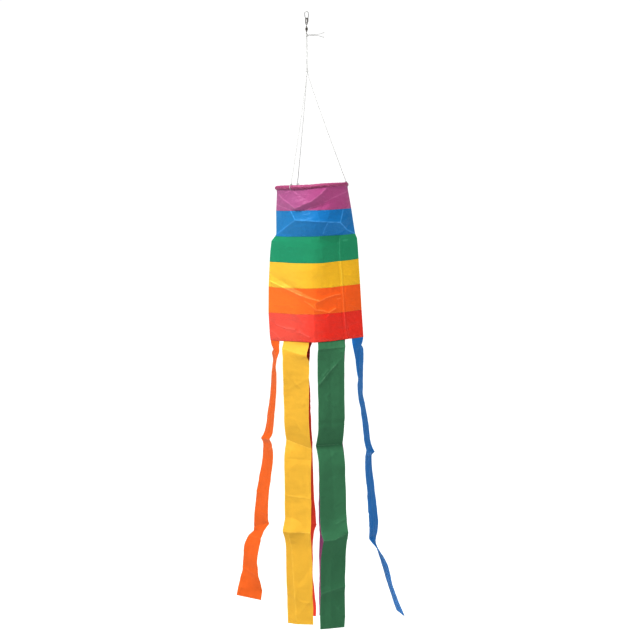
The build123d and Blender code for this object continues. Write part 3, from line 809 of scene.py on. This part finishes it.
def make_side_seam():
    """The two raw edges inside the sock, pressed to one side and overlocked."""
    depths = np.arange(7.0, HEM - 8.0, 2.0)
    line = np.array(SEAM_LINE, float)
    centres = np.interp(depths, line[:, 1], line[:, 0])
    offsets = np.linspace(-3.8, 3.8, 9)
    points = []
    for depth, centre in zip(depths, centres):
        lift = 0.75 + 0.35 * np.sin(depth / 5.1) * (offsets > 1)  # the free edge is a little wavy
        points.append(sock_place(seam_shares(centre + offsets, depth), depth, lift)[0])
    points = np.array(points)
    faces = grid_faces(len(depths), len(offsets))
    bands = np.searchsorted(BAND_EDGES, depths) - 1
    uv = np.dstack(np.meshgrid(offsets, depths))
    piece = piece_from("side_seam_strip", points, faces, BAND_CLOTH["blue"], uv)
    order = ["blue", *[c for c in COLOURS if c != "blue"]]
    for colour in order[1:]:
        piece.data.materials.append(BAND_CLOTH[colour])
    per_row = len(offsets) - 1
    for index, polygon in enumerate(piece.data.polygons):
        polygon.material_index = order.index(COLOURS[bands[index // per_row]])
    thicken(piece, 0.3)
    on_sock(piece, "side_seam")
    zigzag = np.empty((len(depths) * 2 - 1, 3))
    zigzag[::2] = points[:, -4]
    zigzag[1::2] = (points[:-1, -1] + points[1:, -1]) / 2
    zigzag += np.array([0.35, 1.0, 0.0]) * 0.25  # off the cloth, towards its face
    overlock = piece_from("overlock_thread", *tube_mesh(zigzag, 0.17, 5), OVERLOCK)
    on_sock(overlock)


# ---- tubes, cords and knots ----------------------------------------------------------------------
def tube_mesh(path, radius, sides):
    """Points and faces of a round tube along a path."""
    across, other = frames_along(path, [0.3, 0.5, 0.81])
    turns = (2 * pi * np.arange(sides) / sides)[:, None]
    ring = np.cos(turns) * across[:, None] + np.sin(turns) * other[:, None]
    points = [*np.reshape(path[:, None] + radius * ring, (-1, 3))]
    faces = grid_faces(len(path), sides, closed=True)
    faces += [tuple(range(sides)), tuple(range(len(points) - 1, len(points) - 1 - sides, -1))]
    return points, faces


def nurbs_path(name, route):
    """Points along the smooth line that has the route's points, in metres, as its control points."""
    curve = bpy.data.curves.new(name, "CURVE")
    curve.dimensions = "3D"
    curve.resolution_u = 24
    spline = curve.splines.new("NURBS")
    spline.points.add(len(route) - 1)
    for point, place in zip(spline.points, route):
        point.co = (*place, 1)
    spline.order_u = 3
    spline.use_endpoint_u = True
    line = bpy.data.objects.new(name, curve)
    mesh = bpy.data.meshes.new_from_object(line)
    points = np.array([v.co for v in mesh.vertices])
    bpy.data.objects.remove(line)
    bpy.data.curves.remove(curve)
    bpy.data.meshes.remove(mesh)
    return points


def evenly(path, step):
    """The same line with points a step apart."""
    run = run_along(path)
    return at_run(np.linspace(0, run[-1], max(4, int(run[-1] / step) + 1)), run, path)


PLIES = 3


def twisted(path, radius, lay=5.2, step=0.45, phase=0.0, fray=0.0):
    """Plies of a laid cord round a path, as points and faces. fray spreads them towards the far end."""
    path = evenly(path, step)
    across, other = frames_along(path, [0.31, 0.52, 0.8])
    run = run_along(path)
    ply = radius * 0.52
    spread = 1 + fray * smoothstep((run - run[-1] + 5) / 5)
    points, faces = [], []
    for index in range(PLIES):
        turn = (2 * pi * (run / lay + index / PLIES) + phase)[:, None]
        centre = path + (radius - ply) * spread[:, None] * (np.cos(turn) * across + np.sin(turn) * other)
        join(points, faces, *tube_mesh(centre, ply, 6))
    return points, faces


# The routes of the cords as the frame has them, in metres.
CORD_ROUTES = {
    "cord_end_upper": [
        (0.0014, 0, -0.05185), (0.01, 0.0002, -0.0505), (0.02, -0.0003, -0.0502), (0.03, 0.0002, -0.0492),
        (0.039, 0.0009, -0.046),
    ],
    "cord_end_lower": [
        (0.0015, 0, -0.05345), (0.01, -0.0002, -0.0524), (0.02, 0.0003, -0.0525), (0.03, 0, -0.0537),
        (0.0385, -0.0008, -0.0564),
    ],
    "stem_cord_right": [
        (0.0009, 0, -0.0545), (0.0015, 0.0003, -0.08), (0.0023, -0.0001, -0.104), (0.002, 0, -0.1295),
    ],
    "stem_cord_left": [
        (-0.0009, 0, -0.0545), (-0.0007, -0.0003, -0.08), (-0.0009, 0.0001, -0.106), (0.0002, 0, -0.1295),
    ],
}
BRIDLE_STARTS = {
    "right": [(0.0023, 0, -0.1330), (0.0031, -0.0003, -0.1505)],
    "back": [(0.0005, 0.00095, -0.1330), (0.0009, 0.0013, -0.1540)],
    "front": [(0.0005, -0.00095, -0.1330), (0.0008, -0.0013, -0.1520)],
}
KNOT_UP = 6.5  # how far above the hoop's rod the knots of its loops are


def make_cords():
    """Stem, bridle and loose ends, each a three-ply twisted cord along its route."""
    for side, start in BRIDLE_STARTS.items():
        knot = hoop_place(BRIDLE_ANGLES[side], up=KNOT_UP) * MM
        CORD_ROUTES[f"bridle_cord_{side}"] = [*start, (knot[0], knot[1], knot[2] + 0.0005)]
    for number, (name, route) in enumerate(CORD_ROUTES.items()):
        path = nurbs_path(name, route)
        loose = name.startswith("cord_end")
        shape = twisted(path / MM, CORD_DIAMETER / 2, phase=number, fray=0.5 if loose else 0.0)
        cord = piece_from(f"{name}_laid", *shape, CORD_END if loose else CORD_WHITE)
        on_sock(cord, name)


def wound(centre, axis, radius, height, turns, tilt, phase=0.0):
    """A coil of cord round an axis, as a knot's wraps lie. tilt is how far it rises to one side."""
    axis = np.asarray(axis, float) / np.linalg.norm(axis)
    side = np.cross(axis, [0.2, 0.9, 0.37])
    side /= np.linalg.norm(side)
    other = np.cross(axis, side)
    at = np.linspace(0, 1, int(turns * 40))[:, None]
    turn = 2 * pi * turns * at + phase
    swell = radius * (1 + 0.12 * np.sin(pi * at))
    lift = (at - 0.5) * height + tilt * np.sin(turn)
    return np.asarray(centre) + swell * (np.cos(turn) * side + np.sin(turn) * other) + lift * axis


def knot_piece(name, paths, radius, replaced):
    """One knot made of several lengths of laid cord."""
    points, faces = [], []
    for number, path in enumerate(paths):
        join(points, faces, *twisted(path, radius, lay=4.2, step=0.3, phase=number * 1.3))
    on_sock(piece_from(name, points, faces, CORD_WHITE), replaced)


def make_knots():
    """The knot under the swivel, the one where the bridle spreads, and the three loops on the hoop."""
    cord = CORD_DIAMETER / 2
    turn = np.linspace(radians(-75), radians(255), 50)
    loop = np.stack([1.45 * np.cos(turn), 0 * turn, PIVOT_Z + 1.45 * np.sin(turn)], axis=-1)
    under = wound((0.1, 0, PIVOT_Z - 3.3), (0.12, 0, 1), 1.45, 2.5, 2.4, 0.25)
    across = wound((0.4, 0, PIVOT_Z - 3.2), (1, 0.2, 0.25), 1.35, 1.4, 1.2, 0.3, 1.0)
    knot_piece("eye_knot_laid", [loop, under, across], cord, "eye_knot")
    wraps = wound(JUNCTION, (0.1, 0, 1), 1.65, 4.2, 3.3, 0.2)
    crossing = wound(JUNCTION + np.array([0, 0, -0.3]), (0.9, 0.3, 0.5), 1.7, 1.0, 1.1, 0.5, 2.0)
    knot_piece("junction_knot_laid", [wraps, crossing], cord, "junction_knot")
    for side, angle in BRIDLE_ANGLES.items():
        base, out, up = hoop_frame(angle)
        along = np.cross(out, up)
        turn = np.linspace(radians(100), radians(440), 60)[:, None]
        loop = base + LOOP_RADIUS * (np.cos(turn) * out + np.sin(turn) * up) + along * 0.9 * (turn - 4.7) / 3
        top = base + up * KNOT_UP
        wraps = wound(top, up + 0.3 * along, 1.3, 2.0, 2.2, 0.25, angle)
        far = np.linspace(0, 5, 14)[:, None]
        tail = top + along * far + up * (0.6 * far - 0.12 * far * far)
        knot_piece(f"hoop_knot_{side}_laid", [loop, wraps, tail], cord * 0.95, f"hoop_knot_{side}")


# ---- tails ---------------------------------------------------------------------------------------
# Each tail: where it is sewn, as a length round the hem from the left crease over the front; which edge is
# nearer the front (1 the right one, -1 the left one); how far back it hangs; how much higher its right edge
# hangs at some heights, if it isn't level; its stations, as z, the middle's x, how wide it looks from the
# front, and a 1 where it turns a sharp corner; and its folds: lines of across and z, how far they stand
# out, their reach and paleness, and a 1 where the cloth to both sides stays flat.
TAIL_WIDTH = 62.0
TAILS = {
    "orange": {
        "root": 0.0, "near": 1, "back": 2.0,
        "rise": [(-740, 6), (-1190, 8), (-1303, -6)],
        "stations": [
            (-740, -70.6, 17.5), (-753, -69.0, 18.0), (-763, -69.3, 12.5), (-775, -69.7, 8.0),
            (-786, -71.2, 8.0), (-802, -71.9, 11.5), (-851, -73.7, 12.4), (-886, -77.3, 15.0),
            (-925, -82.2, 17.0), (-940, -85.5, 18.0), (-948, -90.4, 17.8, 1), (-959, -85.6, 17.6),
            (-977, -84.7, 21.0), (-1036, -91.5, 25.5), (-1078, -97.0, 27.0), (-1121, -99.8, 30.6),
            (-1138, -99.3, 32.8, 1), (-1154, -105.4, 21.5, 1), (-1168, -114.9, 30.0), (-1189, -121.3, 33.4),
            (-1223, -124.2, 31.0), (-1237, -123.7, 32.5), (-1261, -124.9, 42.0), (-1284, -124.8, 54.0, 1),
            (-1303, -127.6, 53.0),
        ],
        "creases": [
            ([(-31, -944), (31, -952)], 1.0, 10, 0.2), ([(6, -974), (31, -966)], 0.6, 5, 0.5),
            ([(-31, -1145), (31, -1139)], -1.2, 10, 0.15), ([(-31, -1163), (31, -1171)], 1.0, 10, 0.2),
            ([(-31, -1237), (31, -1252)], 1.4, 14, 0.15), ([(-6, -780), (-6, -940)], 1.2, 14, 0.0),
        ],
    },
    "yellow": {
        "root": 74.0, "near": 1, "back": -49.0,
        "stations": [
            (-727, -25.4, 57.0), (-742, -26.2, 54.6), (-752, -25.8, 54.6, 1), (-769, -23.3, 57.2),
            (-844, -22.9, 56.0), (-946, -20.5, 54.4), (-955, -20.2, 54.6, 1), (-986, -19.5, 57.6),
            (-1147, -17.8, 56.4, 1), (-1165, -16.8, 54.6), (-1241, -14.6, 54.8), (-1353, -12.7, 54.8),
        ],
        "creases": [
            ([(-31, -742), (31, -755)], 4.5, 24, 0.3), ([(-31, -946), (31, -963)], -8.0, 55, 0.5),
            ([(-22, -986), (28, -987)], -0.7, 4, 0.0), ([(-24, -1068), (31, -1072)], 0.7, 5, 0.5),
            ([(-31, -1146), (31, -1148)], 5.0, 36, 0.6), ([(-16, -968), (-15, -1140)], 5.0, 34, 0.0, 1),
            ([(-16, -1152), (-10, -1250), (-5, -1352)], 11.0, 34, 0.4, 1),
            ([(-22, -832), (8, -816), (26, -806)], 1.0, 14, 0.1), ([(16, -866), (31, -842)], 1.0, 12, 0.0),
            ([(31, -1220), (2, -1262)], -1.1, 14, 0.0), ([(31, -1290), (0, -1330)], 1.1, 12, 0.1),
        ],
    },
    "green": {
        "root": 155.7, "near": -1, "back": -51.0,
        "stations": [
            (-727, 53.0, 59.6), (-743, 53.3, 59.2), (-801, 53.7, 58.4), (-873, 54.6, 57.2),
            (-950, 55.4, 57.6, 1), (-1050, 57.3, 57.4), (-1147, 58.9, 59.0, 1), (-1173, 58.9, 54.6),
            (-1241, 57.8, 54.6), (-1363, 56.8, 54.2),
        ],
        "creases": [
            ([(-31, -740), (31, -738)], 5.0, 26, 0.3), ([(-31, -744), (31, -742)], -0.8, 3, 0.0),
            ([(-27, -817), (-8, -795), (10, -777)], 2.0, 10, 0.9), ([(-20, -800), (-6, -785)], 0.9, 6, 0.35),
            ([(10, -777), (24, -762)], 0.8, 8, 0.2), ([(-31, -906), (31, -905)], -1.2, 12, 0.0),
            ([(-31, -957), (31, -956)], -17.0, 60, 0.5),
            ([(-31, -1164), (-2, -1164), (31, -1149)], 14.0, 55, 0.6),
            ([(6, -1130), (31, -1118)], 1.0, 9, 0.3), ([(-31, -1284), (31, -1271)], 2.2, 16, 0.3),
            ([(-2, -760), (2, -950)], -1.0, 22, 0.0), ([(0, -970), (6, -1150)], -1.5, 24, 0.0),
            ([(-6, -1175), (-4, -1360)], 1.3, 20, 0.0), ([(4, -1310), (31, -1340)], 0.9, 10, 0.15),
        ],
    },
    "blue": {
        "root": 237.3, "near": -1, "back": 0.0,
        "rise": [(-740, 0), (-1000, -6), (-1160, 6), (-1337, 4)],
        "stations": [
            (-712, 112.9, 22.0), (-745, 114.6, 20.5), (-776, 117.0, 16.6), (-811, 117.7, 12.0),
            (-846, 119.1, 11.0), (-881, 124.2, 10.8), (-924, 130.3, 12.9), (-956, 134.2, 13.5),
            (-967, 137.2, 14.2), (-979, 140.2, 19.0, 1), (-987, 136.0, 14.0), (-1015, 136.6, 14.8),
            (-1070, 141.8, 17.0), (-1121, 147.2, 18.6), (-1140, 147.9, 19.8), (-1165, 146.3, 18.9, 1),
            (-1186, 153.4, -5.0, 1), (-1206, 163.0, -15.6), (-1227, 171.7, -17.6), (-1269, 182.2, -15.0),
            (-1299, 192.4, -16.4), (-1338, 207.4, -17.0),
        ],
        "creases": [
            ([(-31, -972), (31, -982)], 1.0, 10, 0.3), ([(-31, -1166), (31, -1180)], 1.0, 10, 0.3),
            ([(6, -752), (-18, -792), (-31, -812)], 2.2, 12, 0.3), ([(-4, -990), (-6, -1160)], 1.0, 14, 0.0),
        ],
    },
    "purple": {
        "root": 332.0, "near": 1, "back": 51.0,
        "stations": [
            (-740, 54.2, -57.0), (-850, 55.0, -56.0), (-945, 54.2, -53.5), (-960, 53.8, -54.5, 1),
            (-1043, 55.0, -55.0), (-1155, 54.5, -58.0, 1), (-1176, 55.5, -55.0), (-1349, 55.5, -55.0),
        ],
        "creases": [
            ([(-31, -758), (31, -750)], 4.0, 24, 0.3), ([(-31, -955), (31, -960)], -7.0, 50, 0.4),
            ([(-31, -1156), (31, -1152)], 7.0, 50, 0.4), ([(5, -770), (2, -950)], 1.2, 20, 0.0),
            ([(-6, -1170), (-3, -1349)], 1.2, 20, 0.0),
        ],
    },
    "red": {
        "root": 406.0, "near": -1, "back": 51.0,
        "stations": [
            (-740, -15.5, -50.0), (-780, -19.2, -50.0), (-802, -20.8, -50.0), (-859, -16.6, -50.0),
            (-917, -14.9, -50.0), (-958, -16.7, -50.0, 1), (-990, -12.2, -50.0), (-1086, -9.0, -50.0),
            (-1118, -4.6, -51.0), (-1144, 0.2, -52.0, 1), (-1164, -8.0, -50.0), (-1213, -11.7, -50.0),
            (-1256, -11.3, -50.0), (-1340, -4.2, -50.0), (-1350, -4.5, -50.0),
        ],
        "creases": [
            ([(-31, -750), (31, -758)], 4.0, 24, 0.3), ([(-31, -960), (31, -956)], -7.0, 50, 0.4),
            ([(-31, -1142), (31, -1146)], 7.0, 50, 0.4), ([(-5, -770), (-2, -950)], 1.2, 20, 0.0),
            ([(4, -1160), (6, -1350)], 1.2, 20, 0.0),
        ],
    },
}
TUCK = 7.0  # how far each tail runs up inside the hem
TAIL_STITCHES = (2.2, 4.0)  # how far above the hem its two rows of stitches are
TAIL_COLUMNS, TAIL_ROW = 36, 1.8  # points across a tail, and how far its rows of points are apart
INSIDE = 0.85  # how far inside the hem's face a tail's top is
LET_GO = 34.0  # how far below the hem a tail has lost the hem's curve


def hem_place(length, above, inward):
    """A point on or straight below the hem, at a length round it. above is measured up the sock."""
    share = np.mod(np.asarray(length, float), GIRTH) / (GIRTH / 2)
    on_cloth = sock_place(share, np.minimum(HEM, HEM - np.asarray(above, float)), inward)[0]
    on_cloth[..., 2] += np.minimum(0, above)
    return on_cloth


def cubic_through(at, knots, values):
    """A smooth line through values at knots, without overshoot: a monotone cubic."""
    steps, slopes = np.diff(knots), np.diff(values) / np.diff(knots)
    tangents = np.zeros(len(knots))
    tangents[0], tangents[-1] = slopes[0], slopes[-1]
    for k in range(1, len(knots) - 1):
        if slopes[k - 1] * slopes[k] > 0:
            w1, w2 = 2 * steps[k] + steps[k - 1], steps[k] + 2 * steps[k - 1]
            tangents[k] = (w1 + w2) / (w1 / slopes[k - 1] + w2 / slopes[k])
    k = np.clip(np.searchsorted(knots, at, side="right") - 1, 0, len(knots) - 2)
    t = (at - knots[k]) / steps[k]
    start, end = (2 * t**3 - 3 * t**2 + 1) * values[k], (3 * t**2 - 2 * t**3) * values[k + 1]
    leave, arrive = (t**3 - 2 * t**2 + t) * tangents[k], (t**3 - t**2) * tangents[k + 1]
    return start + end + (leave + arrive) * steps[k]


def along_stations(down, stations, column):
    """One of the stations' numbers at each distance down, smooth except at the sharp corners."""
    knots = np.array([-s[0] for s in stations], float)
    values = np.array([s[column] for s in stations], float)
    down = np.clip(down, knots[0], knots[-1])
    found = np.zeros(down.shape)
    breaks = [0, *[k for k, s in enumerate(stations) if len(s) > 3], len(stations) - 1]
    for first, last in zip(breaks, breaks[1:]):
        here = (down >= knots[first]) & (down <= knots[last])
        found[here] = cubic_through(down[here], knots[first : last + 1], values[first : last + 1])
    return found


def tail_relief(colour, u, z, below, seed):
    """How far a tail's folds and wrinkles stand out, and how pale its cloth is."""
    stand, pale = np.zeros(u.shape), np.zeros(u.shape)
    for line, out, reach, whiteness, *straight in TAILS[colour]["creases"]:
        away = distance_to_line(u, z, line)
        stand += out * closeness(away, reach) ** (1 if straight else 2)
        pale = np.maximum(pale, whiteness * closeness(away, 1.4))
    pale = pale * np.clip(0.6 + 0.4 * waves(u, z, 9, seed + 3), 0, 1)
    # paler along both side edges: a painted highlight
    pale = np.maximum(pale, 0.3 * closeness(TAIL_WIDTH / 2 - np.abs(u), 1.5))
    stand += (1.2 * waves(u * 0.5, z, 110, seed) + 0.35 * waves(u, z, 30, seed + 1)) * smoothstep(below / 40)
    stand += wrinkles(u, z, seed + 7) * smoothstep(below / 10)
    return stand * smoothstep(below / 6), pale


def make_tail(colour, seed):
    """One tail: sewn inside the hem, then hanging free with its packing folds and turns."""
    facts = TAILS[colour]
    stations = facts["stations"]
    across = np.linspace(-TAIL_WIDTH / 2, TAIL_WIDTH / 2, TAIL_COLUMNS)
    hinge = hem_place(facts["root"], 0.0, 0.5)
    hem_z, bottom = float(hinge[2]), stations[-1][0]
    zs = np.concatenate([hem_z + np.linspace(TUCK, 0.5, 4), np.arange(hem_z, bottom, -TAIL_ROW), [bottom]])
    u, z = np.meshgrid(across, zs)
    below = np.maximum(0, hem_z - z)
    middle, seen = along_stations(-z, stations, 1), along_stations(-z, stations, 2)
    run = np.clip(seen / TAIL_WIDTH, -0.999, 0.999)
    ahead_x, ahead_y = run, -facts["near"] * np.sqrt(1 - run**2)
    wavy = u + 0.6 * waves(u * 0, z, 50, seed + 2) * np.sign(u) * smoothstep(np.abs(u) / 31)
    free = np.stack([middle + ahead_x * wavy, facts["back"] + ahead_y * wavy, z], axis=-1)
    sewn = hem_place(facts["root"] + u, z - hem_z, INSIDE)
    share = smoothstep(below / LET_GO)[..., None]
    points = sewn * (1 - share) + free * share
    stand, pale = tail_relief(colour, u, z, below, seed)
    stand = stand * np.where(run < 0, -1.0, 1.0)
    points[..., 0] += ahead_y * stand
    points[..., 1] -= ahead_x * stand
    heights, rises = zip(*facts.get("rise", [(0, 0)]))
    points[..., 2] += np.interp(-z, -np.array(heights), rises) * u / TAIL_WIDTH * share[..., 0]
    marks = {"crease": pale, "edge": closeness(z - bottom, 1.5)}
    faces = grid_faces(len(zs), TAIL_COLUMNS)
    tail = piece_from(f"{colour}_streamer", points, faces, TAIL_CLOTH[colour], np.dstack([u, z]), marks)
    thicken(tail, CLOTH, 0.0)
    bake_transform(tail)
    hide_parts(f"{colour}_tail")


def make_tails():
    """All six tails, with the rows of stitches that hold each one inside the hem."""
    for seed, colour in enumerate(["orange", "yellow", "green", "blue", "purple", "red"]):
        make_tail(colour, 40 + 5 * seed)
        lengths = TAILS[colour]["root"] + np.linspace(-TAIL_WIDTH / 2 + 1, TAIL_WIDTH / 2 - 1, 60)
        for row, above in enumerate(TAIL_STITCHES):
            on_cloth, inside = hem_place(lengths, above, 0.0), hem_place(lengths, above, 1.0)
            stitch_row(f"stitches_tail_{colour}_{row}", on_cloth, inside, "red")


# ---- hardware ------------------------------------------------------------------------------------
HARDWARE = {
    "snap_frame": metal_material("bright_wire", (0.20, 0.20, 0.195), 0.3, 0.3),
    "snap_gate": metal_material("bright_gate_wire", (0.20, 0.20, 0.195), 0.3, 0.3),
    "snap_clasp": metal_material("dark_clasp", (0.27, 0.26, 0.25), 0.36, 0.5),
    "swivel_upper_eye": metal_material("dark_eye_upper", (0.24, 0.23, 0.21), 0.3, 0.4),
    "swivel_lower_eye": metal_material("dark_eye_lower", (0.24, 0.23, 0.21), 0.3, 0.4),
    "swivel_barrel": metal_material("dark_barrel", (0.12, 0.11, 0.10), 0.28, 0.4),
    "hoop_rod": rod_material("hoop_rod_fibre", (0.80, 0.79, 0.74)),
    "hoop_ferrule": metal_material("ferrule_metal", (0.75, 0.75, 0.76), 0.35, 0.2),
}


def dress_hardware():
    """Better materials for the frame's pieces that show their own shape."""
    for node, material in HARDWARE.items():
        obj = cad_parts[node]
        obj.data.materials.clear()
        obj.data.materials.append(material)


place_camera()
make_studio()
make_cords()
make_knots()
make_bands()
make_sleeve()
make_side_seam()
make_ring_stitches()
make_tails()
dress_hardware()
